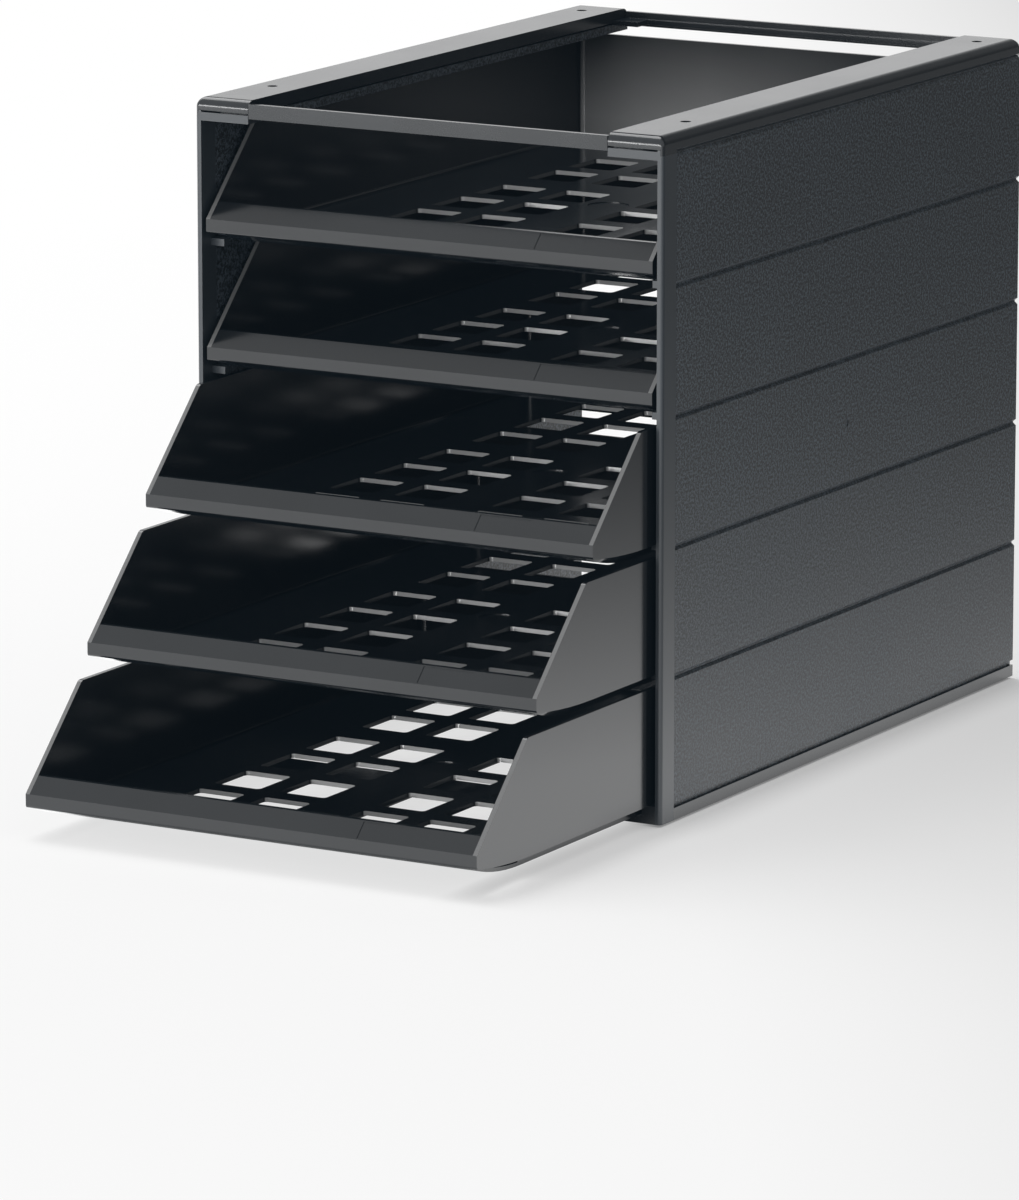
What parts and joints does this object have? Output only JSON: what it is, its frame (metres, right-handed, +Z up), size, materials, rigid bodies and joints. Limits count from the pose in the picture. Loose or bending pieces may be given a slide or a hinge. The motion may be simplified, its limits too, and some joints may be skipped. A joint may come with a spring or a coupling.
{
  "type": "letter tray stack with drawers",
  "caption": "Open-topped desk tray tower: ribbed side panels, rails and cross bars carry pull-out letter trays with slanted fronts and perforated floors.",
  "frame": {"origin": "centre of the pattern of four feet, on the surface that the stack stands on", "axes": "+X to the right seen from the front, +Y to the rear (the trays pull out along -Y), +Z up"},
  "size_m": [0.25, 0.525, 0.322],
  "materials": {
    "panel_plastic": "fine grained",
    "rail_plastic": "satin",
    "tray_plastic": "satin",
    "foot_rubber": "matt"
  },
  "bodies": {
    "housing": {"side_panel_left": "panel_plastic", "side_panel_right": "panel_plastic", "top_rail_left": "rail_plastic", "top_rail_right": "rail_plastic", "base_rail_left": "rail_plastic", "base_rail_right": "rail_plastic", "top_cross_bar_front": "rail_plastic", "top_cross_bar_rear": "rail_plastic", "bottom_cross_bar_front": "rail_plastic", "bottom_cross_bar_rear": "rail_plastic", "foot_front_left": "foot_rubber", "foot_front_right": "foot_rubber", "foot_rear_left": "foot_rubber", "foot_rear_right": "foot_rubber"},
    "tray_1": {"tray_1": "tray_plastic"},
    "tray_2": {"tray_2": "tray_plastic"},
    "tray_3": {"tray_3": "tray_plastic"},
    "tray_4": {"tray_4": "tray_plastic"},
    "tray_5": {"tray_5": "tray_plastic"}
  },
  "joints": [
    {"name": "tray_1_slide", "type": "slide", "parent": "housing", "child": "tray_1", "axis": [0, -1, 0], "range_m": [0, 0.24]},
    {"name": "tray_2_slide", "type": "slide", "parent": "housing", "child": "tray_2", "axis": [0, -1, 0], "range_m": [0, 0.24]},
    {"name": "tray_3_slide", "type": "slide", "parent": "housing", "child": "tray_3", "axis": [0, -1, 0], "range_m": [-0.055, 0.185]},
    {"name": "tray_4_slide", "type": "slide", "parent": "housing", "child": "tray_4", "axis": [0, -1, 0], "range_m": [-0.1065, 0.1335]},
    {"name": "tray_5_slide", "type": "slide", "parent": "housing", "child": "tray_5", "axis": [0, -1, 0], "range_m": [-0.16, 0.08]}
  ]
}
